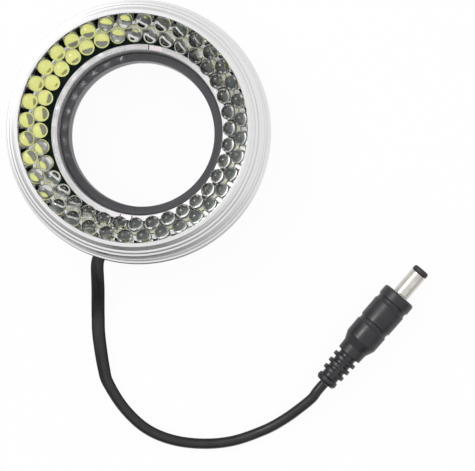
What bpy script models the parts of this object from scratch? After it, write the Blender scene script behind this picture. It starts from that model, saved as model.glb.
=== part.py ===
"""Ring light for a stereo microscope: 72 leaning lamps in a turned shell, on a short lead.

The light lies on its back with its lamps facing +Z. The origin is the centre of the rear
face, which it rests on. All lengths are in metres.
"""
import math

import bmesh
import bpy
from mathutils import Matrix, Vector

# Clearances
seat_gap = 0.0003
close_gap = 0.00015
floor_gap = 0.0001
cut_overrun = 0.001

# Lamps: two staggered rows of clear 5 mm lamps that lean towards the axis
lamp_diameter = 0.00486
lamps_per_row = 36
lamps_per_string = 3
lamp_gap = 0.0003
lamp_lean = math.radians(29.0)
lamp_body_length = 0.0061
row_pitch_share = 0.87
inner_row_turn = math.radians(10.5)
outer_row_turn = math.radians(-4.8)
lamp_recess = 0.0008
leg_width = 0.0005
leg_spacing = 0.00254

# Shell: a turned ring, stepped outside, open at the front and at the back
overall_height = 0.0300
rim_overhang = 0.0003
rim_width = 0.0012
lip_height = 0.0011
lamp_clearance = 0.0004
lamp_sleeve_step = 0.0012
skirt_wall = 0.0016
flange_width = 0.00147
flange_height_share = 0.54
flange_band = 0.0015
flange_chamfer = 0.0005
lug_radius = 0.0026
lug_inset_share = 0.85
lug_roof = 0.0008

# Rear cover: a plate with a clamping collar behind it and a spigot in front
bore_radius = 0.02375
lead_in_widening = 0.0009
lead_in_height = 0.0052
collar_wall = 0.00625
collar_hole_margin = 0.0005
collar_spare_share = 0.4343
collar_chamfer = 0.0004
plate_thickness = 0.0015
spigot_height = 0.0015
ledge_width = 0.00287

# Sleeve that lines the opening in front of the cover
sleeve_wall = 0.00173
sleeve_proud = 0.0001
sleeve_chamfer = 0.0003

# Lamp board, its spacers and what it carries
wiring_space = 0.00485
board_thickness = 0.0010
spacer_radius = 0.0020
spacer_bore = 0.0011
array_count = 3
array_length = 0.0099
array_width = 0.0039
array_height = 0.0015
array_pins = 8
array_pin_pitch = 0.00127
array_pin_width = 0.0004
array_pin_reach = 0.0010
array_pin_thickness = 0.0003
diode_length = 0.0043
diode_width = 0.0036
diode_height = 0.0020

# Screws
fixing_count = 3
board_screw_radius = 0.0008
board_screw_head = 0.0016
board_screw_head_height = 0.0010
cover_screw_radius = 0.0010
cover_screw_head = 0.0019
cover_screw_head_height = 0.0011
clamp_screw_radius = 0.0015
clamp_head_clearance = 0.0004
clamp_head_length = 0.0050
clamp_head_teeth = 16
clamp_travel = 0.0040
clamp_tip_radius = 0.0012
clamp_tip_length = 0.0020
clamp_tip_recess = 0.00035
knurl_depth_share = 0.07

# Lead and its moulded plug
cord_radius = 0.0017
cord_point_pitch = 0.0068
grommet_neck = 0.0019
grommet_inner_flange = 0.0023
grommet_outer_flange = 0.0029
grommet_flange_thickness = 0.0006
cord_tail_length = 0.0034
tie_thickness = 0.00035
tie_width = 0.0014
wire_radius = 0.00045
wire_spacing = 0.0016
wire_reach = 0.0022
plug_grip_radius = 0.0058
plug_length = 0.0381
plug_barrel_radius = 0.00275
plug_barrel_wall = 0.0003
plug_barrel_length = 0.0089
plug_tip_length = 0.0017
plug_contact_wall = 0.0004

# Where things stand around the ring
clamp_turn = math.radians(90.0)
cover_screw_turn = math.radians(30.0)
spacer_lamp = 7
array_turn = math.radians(95.0)
diode_turn = math.radians(232.0)
cord_turn = math.radians(-108.8)
plug_turn = math.radians(49.2)
plug_face_aside = 0.09828
plug_face_away = -0.01340

# Facets
ring_steps = 60
small_steps = 12
lamp_steps = 10
plug_steps = 20

# The lead's route, aside and away from where it leaves the grommet. First it drops, at
# shares of the height that it leaves at; then it lies on the surface in an open bend; then
# it rises to the plug, at shares of the height of the plug's axis.
cord_drop = [
    (-0.00047, -0.00380, 0.970),
    (-0.00082, -0.00690, 0.858),
    (-0.00137, -0.01140, 0.597),
    (-0.00187, -0.01640, 0.336),
    (-0.00212, -0.02140, 0.196),
]
cord_bend = [
    (-0.00182, -0.02790),
    (-0.00022, -0.03820),
    (0.00138, -0.04330),
    (0.00668, -0.05150),
    (0.01388, -0.05820),
    (0.02268, -0.06200),
    (0.03298, -0.06330),
    (0.04318, -0.06230),
]
cord_rise = [
    (0.05348, -0.05870, 0.373),
    (0.06008, -0.05490, 0.559),
    (0.06518, -0.05100, 0.780),
    (0.06918, -0.04750, 0.932),
]

# Outer outline of the shell from rim to flange, as shares of the way out and down
shell_outline_shares = [
    (0.00, 0.00),
    (0.11, 0.10),
    (0.10, 0.12),
    (0.17, 0.13),
    (0.31, 0.165),
    (0.30, 0.19),
    (0.365, 0.205),
    (0.50, 0.26),
    (0.645, 0.50),
    (0.69, 0.535),
    (0.80, 0.80),
    (0.79, 0.825),
    (0.84, 0.845),
    (0.96, 0.97),
    (1.00, 1.00),
]

# Outline of the plug's moulding, as shares of its length and of its grip's radius
plug_outline_shares = [
    (0.000, 0.94),
    (0.012, 1.00),
    (0.092, 1.00),
    (0.097, 0.94),
    (0.134, 0.94),
    (0.139, 0.99),
    (0.330, 0.985),
    (0.335, 0.93),
    (0.370, 0.93),
    (0.375, 0.985),
    (0.522, 0.97),
    (0.596, 0.765),
    (0.677, 0.74),
    (0.685, 0.53),
    (0.717, 0.53),
    (0.723, 0.73),
    (0.752, 0.73),
    (0.758, 0.52),
    (0.788, 0.52),
    (0.794, 0.70),
    (0.823, 0.70),
    (0.829, 0.51),
    (0.857, 0.51),
    (0.863, 0.675),
    (0.892, 0.675),
    (0.898, 0.50),
    (0.936, 0.50),
    (0.944, 0.60),
    (0.975, 0.635),
    (1.000, 0.52),
]

# Places that follow from the sizes above
lamp_radius = lamp_diameter / 2
pitch_angle = 2 * math.pi / lamps_per_row
sleeve_inner_radius = bore_radius + ledge_width
sleeve_outer_radius = sleeve_inner_radius + sleeve_wall
inner_dome_radius = max((lamp_diameter + lamp_gap) / (2 * math.sin(pitch_angle / 2)),
                        sleeve_outer_radius + lamp_sleeve_step)
row_pitch = lamp_diameter * row_pitch_share
outer_dome_radius = inner_dome_radius + row_pitch * math.cos(lamp_lean)
outer_dome_z = overall_height - lamp_recess - lamp_radius
inner_dome_z = outer_dome_z - row_pitch * math.sin(lamp_lean)

rim_inner_radius = outer_dome_radius + lamp_radius * math.cos(lamp_lean) - rim_overhang
rim_outer_radius = rim_inner_radius + rim_width
lamp_foot_radius = (outer_dome_radius + lamp_body_length * math.sin(lamp_lean)
                    + lamp_radius * math.cos(lamp_lean))
lamp_foot_z = (outer_dome_z - lamp_body_length * math.cos(lamp_lean)
               + lamp_radius * math.sin(lamp_lean))
skirt_inner_radius = lamp_foot_radius + 2 * lamp_clearance
skirt_outer_radius = skirt_inner_radius + skirt_wall
flange_radius = skirt_outer_radius + flange_width
flange_top_z = overall_height * flange_height_share
flange_bottom_z = flange_top_z - flange_band

# The height that the pieces leave over is shared by the collar and the lamps' legs
least_collar_height = 2 * (clamp_screw_radius + close_gap + collar_hole_margin)
least_leg_height = seat_gap + leg_width
lamps_low_z = (inner_dome_z - lamp_body_length * math.cos(lamp_lean)
               - lamp_radius * math.sin(lamp_lean))
spare_height = (lamps_low_z - least_leg_height - board_thickness - wiring_space
                - plate_thickness - least_collar_height)
collar_height = least_collar_height + spare_height * collar_spare_share

plate_bottom_z = collar_height
plate_top_z = plate_bottom_z + plate_thickness
board_bottom_z = plate_top_z + wiring_space
board_top_z = board_bottom_z + board_thickness
spigot_top_z = plate_top_z + spigot_height
collar_outer_radius = bore_radius + collar_wall
plate_outer_radius = skirt_inner_radius - lamp_clearance
board_inner_radius = sleeve_outer_radius + seat_gap
inner_leg_radius = inner_dome_radius + lamp_body_length * math.sin(lamp_lean)
outer_leg_radius = outer_dome_radius + lamp_body_length * math.sin(lamp_lean)
spacer_place_radius = (inner_leg_radius + outer_leg_radius) / 2
lug_place_radius = skirt_inner_radius - lug_radius * lug_inset_share
spacer_turn = outer_row_turn + spacer_lamp * pitch_angle
clamp_z = collar_height / 2
clamp_head_radius = clamp_z - clamp_head_clearance

cord_z = plate_top_z + wiring_space / 2
cord_exit_radius = skirt_outer_radius + close_gap + grommet_flange_thickness + seat_gap
cord_exit_x = cord_exit_radius * math.cos(cord_turn)
cord_exit_y = cord_exit_radius * math.sin(cord_turn)
cord_lying_z = cord_radius + floor_gap
plug_face_x = cord_exit_x + plug_face_aside
plug_face_y = cord_exit_y + plug_face_away
plug_z = plug_grip_radius + floor_gap


def clear_scene():
    for item in list(bpy.data.objects):
        bpy.data.objects.remove(item, do_unlink=True)


def make_material(name, colour, roughness, metallic):
    material = bpy.data.materials.new(name)
    material.use_nodes = True
    shader = material.node_tree.nodes["Principled BSDF"]
    shader.inputs["Base Color"].default_value = (*colour, 1.0)
    shader.inputs["Roughness"].default_value = roughness
    shader.inputs["Metallic"].default_value = metallic
    material.diffuse_color = (*colour, 1.0)
    return material


def add_object(name, data, material):
    item = bpy.data.objects.new(name, data)
    bpy.context.scene.collection.objects.link(item)
    if material is not None:
        data.materials.append(material)
    return item


def finish_mesh(name, form, material, crease=35.0):
    """Turn a bmesh into an object with outward faces and smooth round sides."""
    bmesh.ops.recalc_face_normals(form, faces=form.faces)
    mesh = bpy.data.meshes.new(name)
    form.to_mesh(mesh)
    form.free()
    mesh.shade_smooth()
    mesh.set_sharp_from_angle(angle=math.radians(crease))
    return add_object(name, mesh, material)


def lathe(form, profile, steps, place=None, tooth_share=0.0, toothed=()):
    """Turn a profile of (radius, height) points about Z and add it to a bmesh.

    A profile that starts or ends on the axis closes there; any other profile is a closed
    loop, which makes a ring. The rings numbered in toothed are knurled.
    """
    place = place or Matrix.Identity(4)
    rings = []
    for index, (radius, height) in enumerate(profile):
        if radius == 0:
            rings.append([form.verts.new(place @ Vector((0, 0, height)))])
            continue
        ring = []
        for step in range(steps):
            angle = 2 * math.pi * step / steps
            depth = tooth_share if index in toothed and step % 2 else 0.0
            reach = radius * (1 - depth)
            ring.append(form.verts.new(place @ Vector(
                (reach * math.cos(angle), reach * math.sin(angle), height))))
        rings.append(ring)
    pairs = list(zip(rings[:-1], rings[1:]))
    if profile[0][0] > 0 and profile[-1][0] > 0:
        pairs.append((rings[-1], rings[0]))
    for first, second in pairs:
        for step in range(steps):
            following = (step + 1) % steps
            corners = [first[step % len(first)], first[following % len(first)],
                       second[following % len(second)], second[step % len(second)]]
            form.faces.new(list(dict.fromkeys(corners)))


def turned(name, profile, steps, material, place=None):
    form = bmesh.new()
    lathe(form, profile, steps, place)
    return finish_mesh(name, form, material)


def cylinder_profile(radius, low, high):
    return [(0, low), (radius, low), (radius, high), (0, high)]


def tube_profile(inner, outer, low, high):
    return [(inner, low), (outer, low), (outer, high), (inner, high)]


def upright(radius, angle):
    """Place a piece's Z axis upright at a radius and an angle around the ring."""
    return Matrix.Rotation(angle, 4, "Z") @ Matrix.Translation((radius, 0, 0))


def outward(height, angle, radius=0.0):
    """Place a piece's Z axis along the outward radius at an angle and a height."""
    turn = Matrix.Rotation(angle, 4, "Z")
    lay = Matrix.Rotation(math.pi / 2, 4, "Y")
    return turn @ Matrix.Translation((radius, 0, height)) @ lay


def around(count, start):
    return [start + 2 * math.pi * index / count for index in range(count)]


def box(form, size, place):
    bmesh.ops.create_cube(form, size=1.0, matrix=place @ Matrix.Diagonal((*size, 1.0)))


def cutter(name, form):
    item = finish_mesh(name, form, None)
    item.hide_render = True
    item.display_type = "WIRE"
    return item


def combine(item, tool, operation):
    modifier = item.modifiers.new(tool.name, "BOOLEAN")
    modifier.operation = operation
    modifier.solver = "EXACT"
    modifier.object = tool


def smooth_route(points, spacing):
    """Read points at an even spacing from a smooth curve through the route's points.

    The first and the last run stay straight, so that the ends are square to what they meet.
    """
    nodes = [Vector(point) for point in points]
    samples_per_span = 16
    fine = []
    for index in range(1, len(nodes) - 2):
        before, start, end, after = nodes[index - 1:index + 3]
        for step in range(samples_per_span):
            t = step / samples_per_span
            fine.append(0.5 * (2 * start + (end - before) * t
                               + (2 * before - 5 * start + 4 * end - after) * t ** 2
                               + (3 * start - before - 3 * end + after) * t ** 3))
    fine.append(nodes[-2])
    travelled = [0.0]
    for start, end in zip(fine[:-1], fine[1:]):
        travelled.append(travelled[-1] + (end - start).length)
    count = max(2, round(travelled[-1] / spacing))
    route = []
    cursor = 0
    for index in range(count + 1):
        target = travelled[-1] * index / count
        while cursor < len(fine) - 2 and travelled[cursor + 1] < target:
            cursor += 1
        span = travelled[cursor + 1] - travelled[cursor]
        share = (target - travelled[cursor]) / span
        route.append(fine[cursor].lerp(fine[cursor + 1], share))
    route = [nodes[0]] + route + [nodes[-1]]
    length = sum((end - start).length for start, end in zip(route[:-1], route[1:]))
    return route, length


def make_tube(name, route, radius, material, resolution=2):
    curve = bpy.data.curves.new(name, "CURVE")
    curve.dimensions = "3D"
    curve.bevel_depth = radius
    curve.bevel_resolution = resolution
    curve.use_fill_caps = True
    spline = curve.splines.new("POLY")
    spline.points.add(len(route) - 1)
    for point, place in zip(spline.points, route):
        point.co = (*place, 1.0)
    spline.use_smooth = True
    return add_object(name, curve, material)


def make_outer_shell(material):
    """Turned shell: rim, stepped cone, flange and skirt, with lugs for the cover's screws."""
    reach = flange_radius - rim_outer_radius
    drop = overall_height - flange_top_z
    outside = [(rim_outer_radius + reach * out, overall_height - drop * down)
               for out, down in shell_outline_shares]
    outside += [
        (flange_radius, flange_bottom_z),
        (flange_radius - flange_chamfer, flange_bottom_z - flange_chamfer),
        (skirt_outer_radius, flange_bottom_z - flange_chamfer),
        (skirt_outer_radius, plate_bottom_z),
    ]
    lean_out = math.sin(lamp_lean)
    lean_up = math.cos(lamp_lean)
    side_radius = outer_dome_radius + (lamp_radius + lamp_clearance) * lean_up
    side_z = outer_dome_z + (lamp_radius + lamp_clearance) * lean_out
    side_step = lip_height - lamp_recess + lamp_radius * (1 - lean_out)
    inside = [
        (skirt_inner_radius, plate_bottom_z),
        (skirt_inner_radius, lamp_foot_z),
        (side_radius + side_step * lean_out, side_z - side_step * lean_up),
        (rim_inner_radius, overall_height - lip_height),
        (rim_inner_radius, overall_height),
    ]
    shell = turned("outer_shell", outside + inside, ring_steps, material)

    lugs = bmesh.new()
    lug_low = plate_top_z + seat_gap
    lug_high = board_bottom_z - seat_gap
    for angle in around(fixing_count, cover_screw_turn):
        lathe(lugs, cylinder_profile(lug_radius, lug_low, lug_high), small_steps,
              upright(lug_place_radius, angle))
    combine(shell, cutter("shell_lugs", lugs), "UNION")

    holes = bmesh.new()
    hole_radius = cover_screw_radius + seat_gap
    for angle in around(fixing_count, cover_screw_turn):
        lathe(holes, cylinder_profile(hole_radius, lug_low - cut_overrun, lug_high - lug_roof),
              small_steps, upright(lug_place_radius, angle))
    lathe(holes, cylinder_profile(grommet_neck + close_gap, skirt_inner_radius - cut_overrun,
                                  skirt_outer_radius + cut_overrun),
          small_steps, outward(cord_z, cord_turn))
    combine(shell, cutter("shell_holes", holes), "DIFFERENCE")


def make_inner_sleeve(material):
    low = plate_top_z + seat_gap
    high = board_top_z + sleeve_proud
    turned("inner_sleeve", [
        (sleeve_inner_radius, low),
        (sleeve_outer_radius, low),
        (sleeve_outer_radius, high - sleeve_chamfer),
        (sleeve_outer_radius - sleeve_chamfer, high),
        (sleeve_inner_radius + sleeve_chamfer, high),
        (sleeve_inner_radius, high - sleeve_chamfer),
    ], ring_steps, material)


def make_rear_cover(material):
    """Plate, clamping collar and spigot in one turned piece, drilled for its screws.

    The bore opens towards the rear, which guides the light onto the lens that it clamps.
    """
    spigot_outer = sleeve_inner_radius - seat_gap
    cover = turned("rear_cover", [
        (bore_radius + lead_in_widening, 0),
        (collar_outer_radius - collar_chamfer, 0),
        (collar_outer_radius, collar_chamfer),
        (collar_outer_radius, plate_bottom_z),
        (plate_outer_radius, plate_bottom_z),
        (plate_outer_radius, plate_top_z),
        (spigot_outer, plate_top_z),
        (spigot_outer, spigot_top_z),
        (bore_radius, spigot_top_z),
        (bore_radius, lead_in_height),
    ], ring_steps, material)
    holes = bmesh.new()
    through_low = plate_bottom_z - cut_overrun
    through_high = plate_top_z + cut_overrun
    for angle in around(fixing_count, clamp_turn):
        lathe(holes, cylinder_profile(clamp_screw_radius + close_gap,
                                      bore_radius - cut_overrun,
                                      collar_outer_radius + cut_overrun),
              small_steps, outward(clamp_z, angle))
    for angle in around(fixing_count, cover_screw_turn):
        lathe(holes, cylinder_profile(cover_screw_radius + seat_gap, through_low, through_high),
              small_steps, upright(lug_place_radius, angle))
    for angle in around(fixing_count, spacer_turn):
        lathe(holes, cylinder_profile(board_screw_radius + seat_gap, through_low, through_high),
              small_steps, upright(spacer_place_radius, angle))
    combine(cover, cutter("cover_holes", holes), "DIFFERENCE")


def leg_frame(form, start, end, low, high):
    """Add two square legs and the foot that links them, in the plane through both."""
    half = leg_width / 2
    along = end - start
    length = along.length
    along.normalize()
    across = Vector((-along.y, along.x, 0)) * half
    outline = [
        (-half, high), (-half, low), (length + half, low), (length + half, high),
        (length - half, high), (length - half, low + leg_width),
        (half, low + leg_width), (half, high),
    ]
    front, back = [], []
    for reach, height in outline:
        point = start + along * reach + Vector((0, 0, height))
        front.append(form.verts.new(point - across))
        back.append(form.verts.new(point + across))
    form.faces.new(front)
    form.faces.new(back[::-1])
    for index in range(len(outline)):
        following = (index + 1) % len(outline)
        form.faces.new([front[following], front[index], back[index], back[following]])


def make_lamp_strings(name, dome_radius, dome_z, turn, material):
    """A row of lamps in strings of three: each lamp leans inwards and stands on two legs,
    and inside a string neighbouring legs are linked at their feet."""
    high = math.radians(48.0)
    body_profile = [
        (0, -lamp_body_length),
        (lamp_radius, -lamp_body_length),
        (lamp_radius, 0),
        (lamp_radius * math.cos(high), lamp_radius * math.sin(high)),
        (0, lamp_radius),
    ]
    foot_radius = dome_radius + lamp_body_length * math.sin(lamp_lean)
    foot_z = dome_z - lamp_body_length * math.cos(lamp_lean)
    leg_low = board_top_z + seat_gap
    leg_high = foot_z + lamp_radius * math.sin(lamp_lean)
    bodies = bmesh.new()
    legs = bmesh.new()
    feet = []
    for index in range(lamps_per_string):
        spin = Matrix.Rotation(index * pitch_angle, 4, "Z")
        lathe(bodies, body_profile, lamp_steps,
              spin @ Matrix.Translation((dome_radius, 0, dome_z))
              @ Matrix.Rotation(-lamp_lean, 4, "Y"))
        feet.append([spin @ Vector((foot_radius, side * leg_spacing, 0))
                     for side in (-0.5, 0.5)])
    for lamp, following in zip(feet[:-1], feet[1:]):
        leg_frame(legs, lamp[1], following[0], leg_low, leg_high)
    for foot in (feet[0][0], feet[-1][1]):
        middle = Vector((0, 0, (leg_low + leg_high) / 2))
        box(legs, (leg_width, leg_width, leg_high - leg_low), Matrix.Translation(foot + middle))
    pattern = finish_mesh(name, bodies, material, crease=60.0)
    combine(pattern, cutter(name + "_legs", legs), "UNION")
    graph = bpy.context.evaluated_depsgraph_get()
    mesh = bpy.data.meshes.new_from_object(pattern.evaluated_get(graph))
    bpy.data.objects.remove(pattern, do_unlink=True)
    strings = lamps_per_row // lamps_per_string
    for index, angle in enumerate(around(strings, turn), start=1):
        string = add_object(f"{name}_{index:02d}", mesh, None)
        string.rotation_euler.z = angle


def make_led_board(material):
    board = turned("led_board", tube_profile(board_inner_radius, plate_outer_radius,
                                             board_bottom_z, board_top_z),
                   ring_steps, material)
    holes = bmesh.new()
    for angle in around(fixing_count, spacer_turn):
        lathe(holes, cylinder_profile(board_screw_radius + seat_gap,
                                      board_bottom_z - cut_overrun, board_top_z + cut_overrun),
              small_steps, upright(spacer_place_radius, angle))
    combine(board, cutter("board_holes", holes), "DIFFERENCE")


def make_board_parts(black):
    """Resistor arrays and the input diode, which hang under the board."""
    for index, angle in enumerate(around(array_count, array_turn), start=1):
        body_z = board_bottom_z - seat_gap - array_height / 2
        place = (Matrix.Rotation(angle, 4, "Z")
                 @ Matrix.Translation((spacer_place_radius, 0, body_z)))
        form = bmesh.new()
        box(form, (array_width, array_length, array_height), place)
        array = finish_mesh(f"resistor_array_{index}", form, black)
        pins = bmesh.new()
        first = -array_pin_pitch * (array_pins - 1) / 2
        size = (array_width + 2 * array_pin_reach, array_pin_width, array_pin_thickness)
        for pin in range(array_pins):
            box(pins, size, place @ Matrix.Translation((0, first + pin * array_pin_pitch, 0)))
        combine(array, cutter(f"array_pins_{index}", pins), "UNION")

    form = bmesh.new()
    diode_z = board_bottom_z - seat_gap - diode_height / 2
    box(form, (diode_width, diode_length, diode_height),
        Matrix.Rotation(diode_turn, 4, "Z") @ Matrix.Translation(
            (spacer_place_radius, 0, diode_z)))
    bmesh.ops.bevel(form, geom=form.edges[:], offset=close_gap, segments=1)
    finish_mesh("input_diode", form, black)


def make_fixings(brass, steel):
    """Spacers and screws: three that carry the board, three that hold the cover."""
    low = plate_top_z + seat_gap
    high = board_bottom_z - seat_gap
    spacer = tube_profile(spacer_bore, spacer_radius, low, high)
    seat = board_top_z + seat_gap
    board_screw = [
        (0, plate_bottom_z + seat_gap),
        (board_screw_radius, plate_bottom_z + seat_gap),
        (board_screw_radius, seat),
        (board_screw_head, seat),
        (board_screw_head, seat + board_screw_head_height),
        (0, seat + board_screw_head_height),
    ]
    for index, angle in enumerate(around(fixing_count, spacer_turn), start=1):
        place = upright(spacer_place_radius, angle)
        turned(f"board_spacer_{index}", spacer, small_steps, brass, place)
        turned(f"board_screw_{index}", board_screw, small_steps, steel, place)

    seat = plate_bottom_z - seat_gap
    nose = board_bottom_z - lug_roof - 2 * seat_gap
    cover_screw = [
        (0, seat - cover_screw_head_height),
        (cover_screw_head, seat - cover_screw_head_height),
        (cover_screw_head, seat),
        (cover_screw_radius, seat),
        (cover_screw_radius, nose),
        (0, nose),
    ]
    for index, angle in enumerate(around(fixing_count, cover_screw_turn), start=1):
        turned(f"cover_screw_{index}", cover_screw, small_steps, steel,
               upright(lug_place_radius, angle))


def make_clamp_screws(steel, nylon):
    """Three thumbscrews through the collar, each with a swivelling tip at its nose."""
    tip_radius = bore_radius + clamp_tip_recess
    nose = clamp_tip_length + seat_gap
    head_start = collar_outer_radius + clamp_travel + seat_gap - tip_radius
    head_end = head_start + clamp_head_length
    for index, angle in enumerate(around(fixing_count, clamp_turn), start=1):
        seat = (tip_radius * math.cos(angle), tip_radius * math.sin(angle), clamp_z)
        turn = (0, math.pi / 2, angle)

        form = bmesh.new()
        lathe(form, [
            (0, nose),
            (clamp_screw_radius, nose),
            (clamp_screw_radius, head_start),
            (clamp_head_radius, head_start),
            (clamp_head_radius, head_end),
            (0, head_end),
        ], 2 * clamp_head_teeth, tooth_share=knurl_depth_share, toothed=(3, 4))
        screw = finish_mesh(f"clamp_screw_{index}", form, steel)
        screw.location = seat
        screw.rotation_euler = turn

        tip = turned(f"clamp_tip_{index}",
                     cylinder_profile(clamp_tip_radius, 0, clamp_tip_length),
                     small_steps, nylon)
        tip.location = seat
        tip.rotation_euler = turn


def make_lead_entry(rubber, nylon, red, black):
    """Grommet in the skirt, and the lead's tail, tie and two wires behind it."""
    inner_face = skirt_inner_radius - close_gap - grommet_flange_thickness
    outer_seat = skirt_outer_radius + close_gap
    outer_face = outer_seat + grommet_flange_thickness
    turned("cord_grommet", [
        (0, inner_face),
        (grommet_inner_flange, inner_face),
        (grommet_inner_flange, skirt_inner_radius - close_gap),
        (grommet_neck, skirt_inner_radius - close_gap),
        (grommet_neck, outer_seat),
        (grommet_outer_flange, outer_seat),
        (grommet_outer_flange, outer_face),
        (0, outer_face),
    ], plug_steps, rubber, outward(cord_z, cord_turn))

    tail_end = inner_face - seat_gap
    tail_start = tail_end - cord_tail_length
    turned("cord_tail", cylinder_profile(cord_radius, tail_start, tail_end),
           small_steps, rubber, outward(cord_z, cord_turn))
    tie_low = (tail_start + tail_end - tie_width) / 2
    turned("cord_tie", tube_profile(cord_radius + close_gap,
                                    cord_radius + close_gap + tie_thickness,
                                    tie_low, tie_low + tie_width),
           plug_steps, nylon, outward(cord_z, cord_turn))

    wire_start = tail_start - seat_gap
    wire_end_z = board_bottom_z - seat_gap
    rise = wire_end_z - cord_z
    for name, side, colour in (("supply_wire_positive", 0.5, red),
                               ("supply_wire_negative", -0.5, black)):
        turn = Matrix.Rotation(cord_turn, 4, "Z")
        offset = side * wire_spacing
        bend = [
            turn @ Vector((wire_start, offset, cord_z)),
            turn @ Vector((wire_start - 0.55 * wire_reach, offset, cord_z)),
            turn @ Vector((wire_start - 0.90 * wire_reach, offset, cord_z + 0.3 * rise)),
            turn @ Vector((wire_start - wire_reach, offset, cord_z + 0.65 * rise)),
            turn @ Vector((wire_start - wire_reach, offset, wire_end_z)),
        ]
        make_tube(name, bend, wire_radius, colour, resolution=1)


def make_cord(rubber):
    """The free lead, from the grommet down to the surface and round to the plug."""
    out = Vector((math.cos(cord_turn), math.sin(cord_turn), 0))
    start = Vector((cord_exit_x, cord_exit_y, cord_z))
    along = Vector((math.cos(plug_turn), math.sin(plug_turn), 0))
    face = Vector((plug_face_x, plug_face_y, plug_z))
    end = face - (plug_length + seat_gap) * along
    straight = 2 * cord_radius
    points = [start, start + straight * out]
    points += [(cord_exit_x + aside, cord_exit_y + away, cord_z * share)
               for aside, away, share in cord_drop]
    points += [(cord_exit_x + aside, cord_exit_y + away, cord_lying_z)
               for aside, away in cord_bend]
    points += [(cord_exit_x + aside, cord_exit_y + away, plug_z * share)
               for aside, away, share in cord_rise]
    points += [end - straight * along, end]
    route, length = smooth_route(points, cord_point_pitch)
    make_tube("power_cord", route, cord_radius, rubber)
    print("power cord length", round(length, 4), "points", len(route))


def make_plug(rubber, nickel, black, brass):
    """Moulded grip with its ribbed strain relief, and the hollow barrel in front of it."""
    place = (Matrix.Translation((plug_face_x, plug_face_y, plug_z))
             @ Matrix.Rotation(plug_turn, 4, "Z") @ Matrix.Rotation(math.pi / 2, 4, "Y"))
    moulding = [(plug_grip_radius * wide, -plug_length * back)
                for back, wide in plug_outline_shares]
    moulding = [(0, 0)] + moulding + [(0, -plug_length)]
    turned("plug_grip", moulding, plug_steps, rubber, place)

    barrel_inner = plug_barrel_radius - plug_barrel_wall
    barrel_end = seat_gap + plug_barrel_length
    turned("plug_barrel", tube_profile(barrel_inner, plug_barrel_radius, seat_gap, barrel_end),
           plug_steps, nickel, place)

    bush_outer = barrel_inner - seat_gap
    contact_outer = bush_outer - 2 * seat_gap
    tip_start = barrel_end + seat_gap
    tip_end = tip_start + plug_tip_length
    turned("plug_tip_insulator", [
        (contact_outer + seat_gap, seat_gap),
        (bush_outer, seat_gap),
        (bush_outer, tip_start),
        (plug_barrel_radius, tip_start),
        (plug_barrel_radius, tip_end - seat_gap),
        (plug_barrel_radius - seat_gap, tip_end),
        (contact_outer + seat_gap, tip_end),
    ], plug_steps, black, place)
    turned("plug_centre_contact", tube_profile(contact_outer - plug_contact_wall, contact_outer,
                                               seat_gap, tip_end - 2 * seat_gap),
           plug_steps, brass, place)


def build():
    clear_scene()
    aluminium = make_material("turned_aluminium", (0.80, 0.80, 0.80), 0.28, 1.0)
    black_metal = make_material("black_anodised", (0.045, 0.045, 0.050), 0.42, 0.3)
    board_green = make_material("board_green", (0.012, 0.060, 0.035), 0.35, 0.0)
    clear_epoxy = make_material("clear_epoxy", (0.80, 0.83, 0.45), 0.08, 0.0)
    black_plastic = make_material("black_plastic", (0.02, 0.02, 0.022), 0.45, 0.0)
    brass = make_material("brass", (0.72, 0.52, 0.22), 0.30, 1.0)
    steel = make_material("plated_steel", (0.62, 0.62, 0.64), 0.30, 1.0)
    nylon = make_material("white_nylon", (0.82, 0.81, 0.76), 0.50, 0.0)
    rubber = make_material("black_vinyl", (0.018, 0.018, 0.020), 0.48, 0.0)
    nickel = make_material("nickel_plate", (0.66, 0.63, 0.58), 0.22, 1.0)
    red_wire = make_material("red_wire", (0.55, 0.02, 0.02), 0.45, 0.0)

    make_outer_shell(aluminium)
    make_inner_sleeve(aluminium)
    make_rear_cover(black_metal)
    make_led_board(board_green)
    make_lamp_strings("inner_lamp_string", inner_dome_radius, inner_dome_z, inner_row_turn,
                      clear_epoxy)
    make_lamp_strings("outer_lamp_string", outer_dome_radius, outer_dome_z, outer_row_turn,
                      clear_epoxy)
    make_board_parts(black_plastic)
    make_fixings(brass, steel)
    make_clamp_screws(steel, nylon)
    make_lead_entry(rubber, nylon, red_wire, rubber)
    make_cord(rubber)
    make_plug(rubber, nickel, black_plastic, brass)


build()
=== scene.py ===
# %% [markdown]
# # A ring light for a stereo microscope
# The light is a turned silver ring, 85 mm across, that lies on its back on a white table.
# Two rows of clear lamps lean inwards around a black bore, and a short black lead with a
# barrel plug lies beside it. The solids come from the CAD model. This file gives each
# piece its fine shape and its finish.
#
# ## The frame
# The CAD pieces are loaded first.

# %% Load the frame
import math

import bmesh
import bpy
import numpy as np
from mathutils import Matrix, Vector


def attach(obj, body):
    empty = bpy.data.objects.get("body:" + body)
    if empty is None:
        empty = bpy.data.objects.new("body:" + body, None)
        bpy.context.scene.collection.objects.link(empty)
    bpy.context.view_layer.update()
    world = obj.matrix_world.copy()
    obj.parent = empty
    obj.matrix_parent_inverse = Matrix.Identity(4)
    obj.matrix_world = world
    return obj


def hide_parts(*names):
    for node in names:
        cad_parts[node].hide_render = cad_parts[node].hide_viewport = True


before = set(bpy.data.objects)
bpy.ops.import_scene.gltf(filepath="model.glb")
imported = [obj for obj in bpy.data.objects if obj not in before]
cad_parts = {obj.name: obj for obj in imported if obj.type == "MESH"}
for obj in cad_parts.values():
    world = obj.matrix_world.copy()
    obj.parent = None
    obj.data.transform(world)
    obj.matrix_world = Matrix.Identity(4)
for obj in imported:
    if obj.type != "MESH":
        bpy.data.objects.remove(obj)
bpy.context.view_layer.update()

mm = 0.001
quarter_turn = 0.5 * math.pi
full_turn = 2 * math.pi
upright = np.array([0.0, 0.0, 1.0])

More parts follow.
